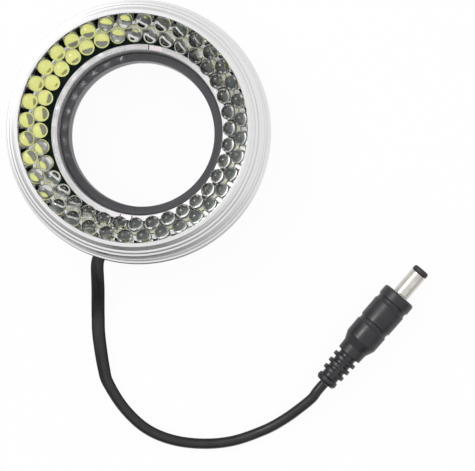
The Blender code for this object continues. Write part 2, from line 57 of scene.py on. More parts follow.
# %% [markdown]
# ## The camera
# The photograph was taken from straight above, with the ring to the left of the middle.
# A camera that looks straight down needs no tilt, so a small lens shift frames the ring
# instead. The height and the lens come from how the near rim and the far bore drift apart.

# %% Camera
def add_object(name, data):
    item = bpy.data.objects.new(name, data)
    bpy.context.scene.collection.objects.link(item)
    return item


camera_data = bpy.data.cameras.new("camera")
camera_data.sensor_width = 36.0
camera_data.lens = 72.08
camera_data.shift_x = -0.0718
camera_data.shift_y = -0.0394
camera_data.clip_start = 0.01
camera_data.clip_end = 20.0
camera = add_object("camera", camera_data)
camera.location = (0.0424, -0.02707, 0.320)
bpy.context.scene.camera = camera
print("camera at", tuple(camera.location))

# %% [markdown]
# ## Surfaces from arrays
# Every new piece here is a surface: a grid of points with rows and columns, joined into
# four-sided faces. Working on whole arrays keeps this short and quick.

# %% Grids of faces
def grid_faces(rows, columns, wrap_rows=False):
    """Faces between row i and i + 1 and column j and j + 1; the columns close on themselves."""
    down = np.arange(rows if wrap_rows else rows - 1)[:, None]
    across = np.arange(columns)[None, :]
    below = (down + 1) % rows
    beside = (across + 1) % columns
    corners = [down * columns + across, down * columns + beside,
               below * columns + beside, below * columns + across]
    return np.stack(np.broadcast_arrays(*corners), axis=-1).reshape(-1, 4)


def joined(parts):
    """Stack several (points, faces) pairs, moving each pair's face numbers past the last."""
    starts = np.cumsum([0] + [len(points) for points, _ in parts[:-1]])
    return (np.concatenate([points for points, _ in parts]),
            np.concatenate([faces + start for (_, faces), start in zip(parts, starts)]))


# %% [markdown]
# A turned shape starts as an outline of radius and height. Its corners are eased first, and
# the helpers below it put a finished shape anywhere and in any direction.

# %% Turned shapes
def unit(vectors):
    """The same directions with a length of one."""
    return vectors / np.linalg.norm(vectors, axis=-1, keepdims=True)


def eased(profile, reach, closed=False, steps=4):
    """Round each corner p with the curve (1-t)^2 a + 2t(1-t) p + t^2 b, where a and b lie on
    the two sides that meet there, at most `reach` away. A further point on each side, just
    past a and b, keeps the flat side's shading flat."""
    longest_share, past = 0.35, 1.3
    profile = np.asarray(profile, float)
    before = np.roll(profile, 1, axis=0) - profile
    after = np.roll(profile, -1, axis=0) - profile
    shorter = np.minimum(np.linalg.norm(before, axis=1), np.linalg.norm(after, axis=1))
    cut = np.minimum(reach, longest_share * shorter)[:, None]
    before, after = cut * unit(before), cut * unit(after)
    t = np.linspace(0, 1, steps)[None, :, None]
    arcs = ((1 - t) ** 2 * (profile + before)[:, None] + 2 * t * (1 - t) * profile[:, None]
            + t ** 2 * (profile + after)[:, None])
    arcs = np.concatenate([(profile + past * before)[:, None], arcs,
                           (profile + past * after)[:, None]], axis=1)
    if closed:
        return arcs.reshape(-1, 2)
    return np.concatenate([profile[:1], arcs[1:-1].reshape(-1, 2), profile[-1:]])


def revolved(radius, height, closed=False):
    """A grid of radii, one row to each height, about Z: x = r cos a, y = r sin a, z = h."""
    angle = np.linspace(0, full_turn, radius.shape[1], endpoint=False)
    points = np.stack([radius * np.cos(angle), radius * np.sin(angle),
                       np.broadcast_to(height[:, None], radius.shape)], axis=-1)
    return points.reshape(-1, 3), grid_faces(*radius.shape, wrap_rows=closed)


def turned(profile, columns, closed=False):
    """A profile of (radius, height) turned about Z."""
    profile = np.asarray(profile, float)
    return revolved(np.repeat(profile[:, :1], columns, axis=1), profile[:, 1], closed)


def laid(part, origin, along, side):
    """Move a turned shape so that its Z axis runs along one direction from an origin."""
    points, faces = part
    return np.asarray(origin) + points @ np.array([side, np.cross(along, side), along]), faces


def direction(angle, lean=0.0):
    """The unit vector at an angle round Z that is tipped up from level by a lean."""
    return np.array([math.cos(angle) * math.cos(lean), math.sin(angle) * math.cos(lean),
                     math.sin(lean)])


def around(count, first):
    """Evenly spaced angles round Z, starting at the first."""
    return [first + full_turn * index / count for index in range(count)]


def block(low, high):
    """A box from its lowest corner to its highest: low + unit corner (high - low)."""
    low, high = np.asarray(low, float), np.asarray(high, float)
    unit = np.array([[x, y, z] for z in (0, 1) for x, y in ((0, 0), (1, 0), (1, 1), (0, 1))])
    faces = np.array([[3, 2, 1, 0], [4, 5, 6, 7], [0, 1, 5, 4], [1, 2, 6, 5], [2, 3, 7, 6],
                      [3, 0, 4, 7]])
    return low + unit * (high - low), faces


# %% [markdown]
# The lead and the strips of tape are ovals carried along a path, so they share one helper.

# %% Shapes along a path
def swept(path, reference, half_width, half_height, twist=0.0, columns=24, power=2.0,
          groove=0.0):
    """An oval carried along a path. At each point u is the reference direction made square to
    the path, v is square to both, and the rim is u w |cos|^(2/p) + v h |sin|^(2/p). A groove
    runs along the middle of both flat sides, where |cos| is near 1."""
    path = np.asarray(path, float)
    along = unit(np.gradient(path, axis=0))
    u = unit(reference - (along @ reference)[:, None] * along)
    v = np.cross(along, u)
    angle = np.linspace(0, full_turn, columns, endpoint=False)[None, :, None]
    groove_sharpness = 14
    wide = np.sign(np.cos(angle)) * np.abs(np.cos(angle)) ** (2 / power)
    wide = wide * (1 - groove * np.abs(np.cos(angle)) ** groove_sharpness)
    high = np.sign(np.sin(angle)) * np.abs(np.sin(angle)) ** (2 / power)
    half_width = np.broadcast_to(half_width, len(path))[:, None, None]
    half_height = np.broadcast_to(half_height, len(path))[:, None, None]
    twist = np.broadcast_to(twist, len(path))[:, None, None]
    a, b = wide * half_width, high * half_height
    rim = path[:, None] + (a * np.cos(twist) - b * np.sin(twist)) * u[:, None] \
        + (a * np.sin(twist) + b * np.cos(twist)) * v[:, None]
    ends = np.stack([np.repeat(path[:1], columns, 0), np.repeat(path[-1:], columns, 0)])
    rim = np.concatenate([ends[:1], rim, ends[1:]])
    return rim.reshape(-1, 3), grid_faces(len(rim), columns)


# %% [markdown]
# Points that meet are merged and every face is turned outwards before a mesh is used. Each
# finished piece rides on a body of the mechanism and names the CAD nodes it replaces.

# %% Meshes
same_point = 1e-8


def repair(mesh, reach, slivers=False):
    """Merge points within the reach, then remove slivers or turn every face outwards."""
    form = bmesh.new()
    form.from_mesh(mesh)
    bmesh.ops.remove_doubles(form, verts=form.verts, dist=reach)
    if slivers:
        bmesh.ops.dissolve_degenerate(form, edges=form.edges, dist=reach)
    else:
        bmesh.ops.recalc_face_normals(form, faces=form.faces)
    form.to_mesh(mesh)
    form.free()


def outward_mesh(name, groups):
    """One mesh from groups of (material, [(points, faces), ...])."""
    points, faces = joined([part for _, parts in groups for part in parts])
    mesh = bpy.data.meshes.new(name)
    mesh.from_pydata(points.tolist(), [], faces.tolist())
    for material, _ in groups:
        mesh.materials.append(material)
    counts = [sum(len(part[1]) for part in parts) for _, parts in groups]
    mesh.polygons.foreach_set("material_index", np.repeat(np.arange(len(groups)), counts))
    repair(mesh, same_point)
    return mesh


def shade(mesh, crease=40.0):
    """Smooth shading, with sharp edges where faces meet at more than the crease in degrees."""
    mesh.shade_smooth()
    mesh.set_sharp_from_angle(angle=math.radians(crease))


def make_piece(name, groups, cad_nodes=(), body="housing", crease=40.0):
    """One finished piece, which rides on a body and may replace CAD nodes."""
    mesh = outward_mesh(name, groups)
    shade(mesh, crease)
    piece = add_object(name, mesh)
    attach(piece, body)
    if cad_nodes:
        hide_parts(*cad_nodes)
    print(name, len(mesh.polygons), "faces")
    return piece


# %% [markdown]
# ## Shared surface effects
# Two effects come back on many pieces. Turned metal carries fine rings that a lathe tool
# leaves, and every handled surface has soft mottling from dust and skin. Each is a node
# group with named inputs, so one change reaches all the materials that use it.

# %% Node helpers
def new_group(name, inputs, outputs):
    """A node group with named values, and its two end nodes. Each input has a default."""
    group = bpy.data.node_groups.new(name, "ShaderNodeTree")
    for socket, value in inputs.items():
        group.interface.new_socket(name=socket, in_out="INPUT",
                                   socket_type="NodeSocketFloat").default_value = value
    for socket in outputs:
        group.interface.new_socket(name=socket, in_out="OUTPUT",
                                   socket_type="NodeSocketFloat")
    return group, group.nodes.new("NodeGroupInput"), group.nodes.new("NodeGroupOutput")


def coordinates(tree, kind="Object"):
    return tree.nodes.new("ShaderNodeTexCoord").outputs[kind]


def split_axes(tree, vector):
    node = tree.nodes.new("ShaderNodeSeparateXYZ")
    tree.links.new(vector, node.inputs[0])
    return node.outputs


def add_math(tree, operation, first, second=None, third=None):
    node = tree.nodes.new("ShaderNodeMath")
    node.operation = operation
    for socket, value in zip(node.inputs, (first, second, third)):
        if value is None:
            continue
        if isinstance(value, (int, float)):
            socket.default_value = value
        else:
            tree.links.new(value, socket)
    return node.outputs[0]


def add_vector_math(tree, operation, first, second):
    """A vector operation between a linked vector and a constant one, as a single value."""
    node = tree.nodes.new("ShaderNodeVectorMath")
    node.operation = operation
    tree.links.new(first, node.inputs[0])
    node.inputs[1].default_value = second
    return node.outputs["Value"]


# %% Lathe lines
def make_lathe_lines():
    """Rings around Z: four-dimensional noise of (r f, z f, cos a, sin a) is fine across the
    rings and slow along them, and it has no seam."""
    group, start, end = new_group(
        "lathe_lines", {"Lines per Metre": 9000.0, "Drift": 1.5}, ("Fine", "Broad"))
    x, y, z = split_axes(group, coordinates(group))
    radius = add_math(group, "SQRT", add_math(
        group, "MULTIPLY_ADD", x, x, add_math(group, "MULTIPLY", y, y)))
    least_radius = 0.0001
    safe = add_math(group, "MAXIMUM", radius, least_radius)
    turn_x, turn_y = (add_math(group, "MULTIPLY", add_math(group, "DIVIDE", side, safe),
                               start.outputs["Drift"]) for side in (x, y))
    for output, share, detail in (("Fine", 1.0, 3.0), ("Broad", 0.16, 2.0)):
        lines = add_math(group, "MULTIPLY", start.outputs["Lines per Metre"], share)
        place = group.nodes.new("ShaderNodeCombineXYZ")
        group.links.new(add_math(group, "MULTIPLY", radius, lines), place.inputs[0])
        group.links.new(add_math(group, "MULTIPLY", z, lines), place.inputs[1])
        group.links.new(turn_x, place.inputs[2])
        noise = group.nodes.new("ShaderNodeTexNoise")
        noise.noise_dimensions = "4D"
        noise.inputs["Scale"].default_value = 1.0
        noise.inputs["Detail"].default_value = detail
        group.links.new(place.outputs[0], noise.inputs["Vector"])
        group.links.new(turn_y, noise.inputs["W"])
        group.links.new(noise.outputs["Fac"], end.inputs[output])
    return group


lathe_lines = make_lathe_lines()

# %% Handling marks
def make_handling_marks():
    """Two noises in Object coordinates: a cloudy one of some millimetres and a grainy one."""
    group, start, end = new_group(
        "handling_marks", {"Cloud Scale": 160.0, "Grain Scale": 3500.0}, ("Cloud", "Grain"))
    place = coordinates(group)
    for name, detail in (("Cloud", 3.0), ("Grain", 2.0)):
        noise = group.nodes.new("ShaderNodeTexNoise")
        noise.inputs["Detail"].default_value = detail
        noise.inputs["Roughness"].default_value = 0.6
        group.links.new(place, noise.inputs["Vector"])
        group.links.new(start.outputs[name + " Scale"], noise.inputs["Scale"])
        group.links.new(noise.outputs["Fac"], end.inputs[name])
    return group


handling_marks = make_handling_marks()
print("groups", lathe_lines.name, handling_marks.name)

# %% [markdown]
# Every material mixes two close colours by a noise, and the helpers here keep that short.

# %% Material helpers
def new_material(name, **constants):
    """A Principled material whose constant values sit on the shader's own sockets."""
    material = bpy.data.materials.new(name)
    material.use_nodes = True
    shader = material.node_tree.nodes["Principled BSDF"]
    for socket, value in constants.items():
        shader.inputs[socket.replace("_", " ")].default_value = value
    return material, material.node_tree, shader


def feed(tree, shader, **sources):
    """Link values to the shader's sockets by name."""
    for socket, source in sources.items():
        tree.links.new(source, shader.inputs[socket.replace("_", " ")])


def place_group(tree, group, **values):
    node = tree.nodes.new("ShaderNodeGroup")
    node.node_tree = group
    for socket, value in values.items():
        node.inputs[socket.replace("_", " ")].default_value = value
    return node


def ramp(tree, value, low, high, from_low=0.3, from_high=0.7):
    """Map a value that lies between two limits onto a new pair of limits."""
    node = tree.nodes.new("ShaderNodeMapRange")
    node.inputs["From Min"].default_value = from_low
    node.inputs["From Max"].default_value = from_high
    node.inputs["To Min"].default_value = low
    node.inputs["To Max"].default_value = high
    tree.links.new(value, node.inputs["Value"])
    return node.outputs["Result"]


def blend_colours(tree, factor, first, second):
    node = tree.nodes.new("ShaderNodeMix")
    node.data_type = "RGBA"
    tree.links.new(factor, node.inputs["Factor"])
    for socket, value in ((node.inputs["A"], first), (node.inputs["B"], second)):
        if isinstance(value, tuple):
            socket.default_value = (*value, 1.0)
        else:
            tree.links.new(value, socket)
    return node.outputs["Result"]


def bump(tree, height, distance, normal=None):
    node = tree.nodes.new("ShaderNodeBump")
    node.inputs["Strength"].default_value = 1.0
    node.inputs["Distance"].default_value = distance
    tree.links.new(height, node.inputs["Height"])
    if normal is not None:
        tree.links.new(normal, node.inputs["Normal"])
    return node.outputs["Normal"]


# %% [markdown]
# ## Metal finishes
# The shell is bare aluminium straight off the lathe: bright, with hair-fine rings. The
# sleeve is softer and paler, and the cover behind is the same turned metal under a black
# oxide. The inside of the shell has a mottled, pale green lacquer. One ring pattern drives
# the colour, the roughness and the bump of each.

# %% Turned metal
def make_turned_metal(name, light, dark, rough_low, rough_high, metallic, lines, relief,
                      wave, drift=1.2):
    """Rings of two colours. Relief and wave are the depths of the fine and broad bumps in
    metres, and a larger drift breaks the rings up into patches."""
    material, tree, shader = new_material(name, Metallic=metallic)
    turning = place_group(tree, lathe_lines, Lines_per_Metre=lines, Drift=drift)
    marks = place_group(tree, handling_marks, Cloud_Scale=120.0, Grain_Scale=2500.0)
    band = ramp(tree, turning.outputs["Broad"], 0.0, 1.0)
    rough = ramp(tree, turning.outputs["Fine"], rough_low, rough_high)
    cloud = ramp(tree, marks.outputs["Cloud"], -0.03, 0.03)
    wavy = bump(tree, turning.outputs["Broad"], wave)
    feed(tree, shader, Base_Color=blend_colours(tree, band, dark, light),
         Roughness=add_math(tree, "ADD", rough, cloud),
         Normal=bump(tree, turning.outputs["Fine"], relief, normal=wavy))
    return material


turned_aluminium = make_turned_metal(
    "turned_aluminium", (0.86, 0.86, 0.86), (0.77, 0.77, 0.77), 0.15, 0.25,
    metallic=1.0, lines=9000.0, relief=0.000006, wave=0.00003)
sleeve_aluminium = make_turned_metal(
    "sleeve_aluminium", (0.99, 0.97, 0.98), (0.88, 0.86, 0.87), 0.22, 0.32,
    metallic=0.50, lines=8000.0, relief=0.00001, wave=0.00002)
inside_lacquer = make_turned_metal(
    "inside_lacquer", (0.99, 0.99, 0.99), (0.30, 0.46, 0.42), 0.22, 0.36,
    metallic=0.30, lines=1300.0, relief=0.00001, wave=0.00004, drift=14.0)
black_anodised = make_turned_metal(
    "black_anodised", (0.105, 0.102, 0.112), (0.070, 0.068, 0.076), 0.15, 0.21,
    metallic=0.55, lines=7000.0, relief=0.000001, wave=0.000001)
print("turned metals", len(bpy.data.materials))

# %% Plated and bare metals
def make_mottled(name, light, dark, rough_low, rough_high, cloud=220.0, grain=3000.0,
                 relief=0.00001, gloss="Cloud", **constants):
    """Clouds of two close colours under a fine grain. The roughness follows one of them."""
    material, tree, shader = new_material(name, **constants)
    marks = place_group(tree, handling_marks, Cloud_Scale=cloud, Grain_Scale=grain)
    clouds = ramp(tree, marks.outputs["Cloud"], 0.0, 1.0)
    feed(tree, shader, Base_Color=blend_colours(tree, clouds, dark, light),
         Roughness=ramp(tree, marks.outputs[gloss], rough_low, rough_high),
         Normal=bump(tree, marks.outputs["Grain"], relief))
    return material


def make_plain_metal(name, light, dark, rough_low, rough_high, grain=4000.0):
    return make_mottled(name, light, dark, rough_low, rough_high, cloud=500.0, grain=grain,
                        relief=0.000004, gloss="Grain", Metallic=1.0)


plated_steel = make_plain_metal(
    "plated_steel", (0.66, 0.66, 0.68), (0.52, 0.52, 0.54), 0.22, 0.38)
nickel_plate = make_plain_metal(
    "nickel_plate", (0.74, 0.71, 0.66), (0.60, 0.57, 0.53), 0.14, 0.26)
tinned_wire = make_plain_metal(
    "tinned_wire", (0.86, 0.86, 0.85), (0.70, 0.70, 0.70), 0.12, 0.26)
solder = make_plain_metal(
    "solder", (0.72, 0.72, 0.71), (0.50, 0.50, 0.50), 0.25, 0.45, grain=6000.0)
foil_tape = make_plain_metal(
    "foil_tape", (0.97, 0.88, 0.92), (0.90, 0.80, 0.84), 0.24, 0.36)
brass = make_plain_metal(
    "brass", (0.78, 0.58, 0.28), (0.60, 0.42, 0.18), 0.24, 0.40)
print("metals", plated_steel.name, nickel_plate.name, tinned_wire.name, solder.name)

# %% [markdown]
# ## Plastics
# The lead and the plug are soft black vinyl with a satin skin. Nylon, resin and the board's
# green lacquer differ from it only in colour, gloss and grain.

# %% Plastic finishes
black_vinyl = make_mottled(
    "black_vinyl", (0.013, 0.012, 0.015), (0.007, 0.007, 0.009), 0.30, 0.42)
plug_vinyl = make_mottled(
    "plug_vinyl", (0.024, 0.023, 0.027), (0.014, 0.013, 0.016), 0.28, 0.42)
red_vinyl = make_mottled(
    "red_vinyl", (0.55, 0.03, 0.025), (0.40, 0.02, 0.02), 0.38, 0.50)
white_nylon = make_mottled(
    "white_nylon", (0.82, 0.81, 0.77), (0.72, 0.71, 0.66), 0.42, 0.55)
black_resin = make_mottled(
    "black_resin", (0.030, 0.030, 0.032), (0.018, 0.018, 0.020), 0.45, 0.60)
board_lacquer = make_mottled(
    "board_lacquer", (0.007, 0.024, 0.018), (0.004, 0.015, 0.011), 0.30, 0.45,
    cloud=300.0, Specular_IOR_Level=0.2)
print("materials", len(bpy.data.materials))

# %% [markdown]
# ## The lead
# A short flat lead drops out of the skirt, lies on the table in an open bend and rises into
# the plug. It is an oval carried along one smooth path, and it rolls on the way: it comes
# out of the skirt half turned, lies flat through the first bend and stands almost on its
# edge by the time it meets the plug. It never sinks into the table.

# %% The lead's route
cord_turn = math.radians(-108.8)
cord_out = direction(cord_turn)
cord_z = 10.725 * mm
cord_exit_radius = 41.833 * mm
cord_exit = cord_exit_radius * cord_out + cord_z * upright
plug_turn = math.radians(49.2)
plug_along = direction(plug_turn)
plug_side = direction(plug_turn + quarter_turn)
plug_face = np.array([0.0848, -0.0530, 0.0059])
plug_length = 38.1 * mm
plug_gap = 0.3 * mm
cord_end = plug_face - (plug_length + plug_gap) * plug_along
cord_straight = 3.4 * mm
exit_straight = 0.6 * cord_straight
cord_route = np.array([
    cord_exit,
    cord_exit + exit_straight * cord_out,
    (-0.01438, -0.0437, 0.0104),
    (-0.01450, -0.0468, 0.0091),
    (-0.01485, -0.0510, 0.0064),
    (-0.01535, -0.0560, 0.0036),
    (-0.0156, -0.0610, 0.0019),
    (-0.0153, -0.0675, 0.0017),
    (-0.0137, -0.0778, 0.0017),
    (-0.0121, -0.0829, 0.0018),
    (-0.0068, -0.0911, 0.0019),
    (0.0004, -0.0978, 0.0020),
    (0.0092, -0.1016, 0.00205),
    (0.0195, -0.1029, 0.0021),
    (0.0297, -0.1019, 0.0021),
    (0.0400, -0.0983, 0.0023),
    (0.0466, -0.0945, 0.0033),
    (0.0517, -0.0906, 0.0046),
    (0.0557, -0.0871, 0.0055),
    cord_end - cord_straight * plug_along,
    cord_end,
])
print("route points", len(cord_route))


# %% A smooth path
def smooth_path(nodes, per_span):
    """Between nodes b and c, with a before and d after: half of 2b + (c - a) t
    + (2a - 5b + 4c - d) t^2 + (3b - a - 3c + d) t^3. The end spans use mirrored nodes."""
    nodes = np.concatenate([2 * nodes[:1] - nodes[1:2], nodes, 2 * nodes[-1:] - nodes[-2:-1]])
    a, b, c, d = (nodes[i:len(nodes) - 3 + i, None] for i in range(4))
    t = np.linspace(0, 1, per_span, endpoint=False)[None, :, None]
    path = 0.5 * (2 * b + (c - a) * t + (2 * a - 5 * b + 4 * c - d) * t ** 2
                  + (3 * b - a - 3 * c + d) * t ** 3)
    return np.concatenate([path.reshape(-1, 3), nodes[-2:-1]])


cord_half_wide = 2.18 * mm
cord_half_thin = 1.80 * mm
table_gap = 0.03 * mm
roll_places = [0.0, 0.05, 0.12, 0.20, 0.38, 0.85, 1.0]
roll_angles = np.radians([40.0, 28.0, 4.0, 4.0, 66.0, 74.0, 80.0])
roll_reach = 9
cord_path = smooth_path(cord_route, per_span=8)
cord_steps = np.linalg.norm(np.diff(cord_path, axis=0), axis=1)
cord_distance = np.concatenate([[0.0], np.cumsum(cord_steps)])
cord_length = float(cord_distance[-1])
roll = np.interp(cord_distance / cord_length, roll_places, roll_angles)
window = np.hanning(2 * roll_reach + 1)
roll = np.convolve(np.pad(roll, roll_reach, mode="edge"), window / window.sum(),
                   mode="valid")
cord_path[:, 2] = np.maximum(cord_path[:, 2], table_gap + np.hypot(
    cord_half_thin * np.cos(roll), cord_half_wide * np.sin(roll)))
print("lead length", round(cord_length, 4), "lowest", cord_path[:, 2].min())

# %% The lead itself
lead_skin = swept(cord_path, upright, cord_half_thin, cord_half_wide, roll, columns=44,
                  power=2.2, groove=0.10)
lead = make_piece("lead", [(black_vinyl, [lead_skin])], cad_nodes=["power_cord"])

# %% [markdown]
# ## The barrel plug
# The plug is a soft moulding on a thin nickelled tube. The moulding has a round grip with
# two finger grooves, and its tail is cut into rings so that it bends with the lead. It is
# turned from one outline, with a straight spine left along the top and bottom of the rings.

# %% Plug moulding
plug_outline = np.array([
    (0.0, 0.0), (5.30, 0.0), (5.80, 0.55), (5.82, 3.40), (5.55, 3.55), (5.35, 4.35),
    (5.55, 5.20), (5.80, 5.35), (5.74, 12.50), (5.46, 12.65), (5.28, 13.40), (5.46, 14.20),
    (5.72, 14.35), (5.66, 19.80), (4.44, 22.75), (4.28, 25.85), (3.05, 26.10), (3.05, 27.30),
    (4.22, 27.45), (4.25, 28.70), (3.02, 28.90), (3.02, 30.00), (4.04, 30.15), (4.07, 31.45),
    (2.96, 31.60), (2.96, 32.65), (3.90, 32.80), (3.93, 34.10), (2.90, 34.25), (2.90, 35.65),
    (3.48, 35.90), (3.68, 37.10), (3.10, 38.05), (0.0, 38.1)]) * mm
plug_body = turned(eased(plug_outline, 0.16 * mm), 128)
plug_body = laid(plug_body, plug_face, -plug_along, plug_side)
spine = block(np.array([-0.75, -3.95, 25.0]) * mm, np.array([0.75, 3.95, 35.5]) * mm)
spine = laid(spine, plug_face, -plug_along, plug_side)
plug_grip = make_piece("plug_moulding", [(plug_vinyl, [plug_body, spine])],
                       cad_nodes=["plug_grip"])

# %% [markdown]
# Three tubes stand in front of the moulding: the plated barrel, the black insulator that
# ends it and the brass contact inside. Each is a closed outline turned about the plug's axis.

# %% Plug barrel
def plug_tube(name, outline, easing, columns, material, cad_node):
    """A tube on the plug's axis from a closed outline of (radius, distance) in millimetres."""
    tube = turned(eased(np.array(outline) * mm, easing, closed=True), columns, closed=True)
    return make_piece(name, [(material, [laid(tube, plug_face, plug_along, plug_side)])],
                      cad_nodes=[cad_node])


plug_barrel = plug_tube(
    "barrel", [(2.45, 0.3), (2.75, 0.3), (2.75, 9.2), (2.45, 9.2)], 0.08 * mm, 96,
    nickel_plate, "plug_barrel")
plug_insulator = plug_tube(
    "barrel_insulator", [(1.85, 0.3), (2.15, 0.3), (2.15, 9.5), (2.75, 9.5), (2.75, 10.75),
                         (2.40, 11.2), (1.85, 11.2)], 0.12 * mm, 96,
    black_resin, "plug_tip_insulator")
plug_contact = plug_tube(
    "barrel_contact", [(1.15, 0.3), (1.55, 0.3), (1.55, 10.6), (1.15, 10.6)], 0.08 * mm, 64,
    brass, "plug_centre_contact")

# %% [markdown]
# ## The turned shell
# The shell is one piece off the lathe: a narrow flat rim, a cone with four narrow ledges, a
# flange and a skirt. A finely divided revolve keeps its rings clean, and each edge is eased
# by a tenth of a millimetre so that it catches a line of light. Three lugs inside it take
# the screws of the cover.

# %% Where the screws sit
clamp_turns = around(3, math.radians(90.0))
cover_screw_turns = around(3, math.radians(30.0))
board_screw_turns = around(3, math.radians(65.2))
cover_screw_place = 36.973 * mm
board_screw_place = 34.409 * mm
clamp_z = 3.4 * mm
print("screws", len(clamp_turns + cover_screw_turns + board_screw_turns))

# %% Outer shell
shell_outline = np.array([
    (36.326, 30.0), (36.90, 28.66), (37.52, 27.50), (37.62, 27.46), (38.22, 27.42),
    (38.36, 27.00), (38.62, 26.46), (38.72, 26.42), (39.30, 26.36), (39.44, 25.90),
    (40.02, 23.30), (40.34, 22.06), (40.42, 22.00), (40.66, 21.96), (40.74, 21.50),
    (41.02, 18.80), (41.10, 18.30), (41.20, 18.22), (41.84, 18.12), (42.12, 16.95),
    (42.253, 16.2),
    (42.253, 14.7), (41.753, 14.2), (40.783, 14.2), (40.783, 6.8), (39.183, 6.8),
    (39.183, 22.613), (36.528, 26.785), (35.126, 28.9), (35.126, 30.0)]) * mm
shell = turned(eased(shell_outline, 0.10 * mm, closed=True), 360, closed=True)
lug = turned(np.array([(1.3, 8.6), (2.6, 8.6), (2.6, 12.85), (1.3, 12.85)]) * mm, 32,
             closed=True)
lugs = [laid(lug, cover_screw_place * direction(angle), upright, direction(angle))
        for angle in cover_screw_turns]
shell_piece = make_piece("shell", [(turned_aluminium, [shell] + lugs)],
                         cad_nodes=["outer_shell"])

# %% [markdown]
# The inside of the shell shows only through the lamps, which magnify it. Its lacquer goes on
# the faces that lie on the inner part of the outline or within it, short of both ends.

# %% The lacquered inside of the shell
inner_radius, inner_z = shell_outline[-5:-1].T
lacquer_low, lacquer_high, lacquer_reach = 6.9 * mm, 28.7 * mm, 0.15 * mm
shell_piece.data.materials.append(inside_lacquer)
centres = np.zeros(3 * len(shell_piece.data.polygons))
shell_piece.data.polygons.foreach_get("center", centres)
x, y, z = centres.reshape(-1, 3).T
inside = ((np.hypot(x, y) < np.interp(z, inner_z, inner_radius) + lacquer_reach)
          & (z < lacquer_high) & (z > lacquer_low))
shell_piece.data.polygons.foreach_set("material_index", inside.astype(int))
print("inside faces", int(inside.sum()))

# %% [markdown]
# ## The sleeve and the cover
# A bright sleeve lines the opening, and its lip slopes gently inwards. The black cover's
# ledge and bore show inside it, and the cover also makes the clamping collar behind.

# %% Sleeve
sleeve_outline = np.array([
    (26.62, 8.6), (28.35, 8.6), (28.35, 14.18), (28.52, 14.18), (28.52, 14.34),
    (28.40, 14.46), (26.80, 14.21), (26.62, 14.02)]) * mm
sleeve = turned(eased(sleeve_outline, 0.10 * mm, closed=True), 320, closed=True)
make_piece("sleeve", [(sleeve_aluminium, [sleeve])], cad_nodes=["inner_sleeve"])

# %% [markdown]
# Two short strips of pale foil tape lie on the lip, with dark ends. The strips follow the
# lip round and tilt with its slope.

# %% Tape on the sleeve's lip
lip_outer, lip_inner = sleeve_outline[5:7]
lip_rise = math.atan2(lip_outer[1] - lip_inner[1], lip_outer[0] - lip_inner[0])
lip_place, lip_z = 0.5 * (lip_outer + lip_inner)
tape_half_thin, tape_half_wide = 0.05 * mm, 0.74 * mm
tape_end_low = np.array([-0.15, -0.74, -0.02]) * mm
tape_end_high = np.array([0.15, 0.74, 0.08]) * mm


def on_lip(degrees):
    """The middle of the lip at an angle round Z."""
    return lip_place * direction(math.radians(degrees)) + lip_z * upright


strips = []
for first, last in ((75.1, 83.6), (-102.8, -95.7)):
    arc = np.array([on_lip(degrees) for degrees in np.linspace(first, last, 9)])
    strips.append(swept(arc, upright, tape_half_thin, tape_half_wide, -lip_rise, power=6.0))
ends = []
for degrees in (84.0, -95.3, -103.2):
    lip_normal = direction(math.radians(degrees + 180.0), quarter_turn - lip_rise)
    ends.append(laid(block(tape_end_low, tape_end_high), on_lip(degrees), lip_normal,
                     direction(math.radians(degrees + 90.0))))
make_piece("sleeve_tape", [(foil_tape, strips), (black_resin, ends)])

# %% [markdown]
# The screw holes are cut with a Boolean, which is applied at once, so the finished piece is
# one plain mesh. Slivers that the cut leaves on the cover are merged away.

# %% Holes
def cut_away(piece, parts):
    """Subtract closed parts that don't touch each other, and keep the result as the mesh."""
    tool = add_object("cutter", outward_mesh("cutter", [(None, parts)]))
    modifier = piece.modifiers.new("holes", "BOOLEAN")
    modifier.solver = "EXACT"
    modifier.object = tool
    bpy.context.view_layer.update()
    graph = bpy.context.evaluated_depsgraph_get()
    result = bpy.data.meshes.new_from_object(piece.evaluated_get(graph))
    piece.modifiers.remove(modifier)
    bpy.data.objects.remove(tool, do_unlink=True)
    piece.data = result
    shade(result)
    print(piece.name, "after cutting", len(result.polygons), "faces")


def pin(radius, low, high):
    """A closed cylinder on the Z axis, as a turned rectangle in millimetres."""
    return turned(np.array([(0, low), (radius, low), (radius, high), (0, high)]) * mm, 48)


# %% Rear cover
cover_outline = np.array([
    (24.65, 0.0), (29.6, 0.0), (30.0, 0.4), (30.0, 6.8), (38.783, 6.8), (38.783, 8.3),
    (26.32, 8.3), (26.32, 9.8), (23.75, 9.8), (23.75, 5.2)]) * mm
cover = turned(eased(cover_outline, 0.08 * mm, closed=True), 288, closed=True)
cover_piece = make_piece("cover", [(black_anodised, [cover])], cad_nodes=["rear_cover"])
cover_holes = [laid(pin(1.65, 22.5, 31.0), clamp_z * upright, direction(angle), upright)
               for angle in clamp_turns]
for radius, place, turns in ((1.3, cover_screw_place, cover_screw_turns),
                             (1.1, board_screw_place, board_screw_turns)):
    cover_holes += [laid(pin(radius, 6.0, 9.0), place * direction(angle), upright,
                         direction(angle)) for angle in turns]
cut_away(cover_piece, cover_holes)
repair(cover_piece.data, 0.001 * mm, slivers=True)

# %% [markdown]
# ## Screws
# The thumbscrews have a knurled head and a real helical thread of 0.5 mm pitch. Both come
# from one formula for the radius at each angle and height. The screws that hold the cover
# and the board have domed heads with a cross cut into them.

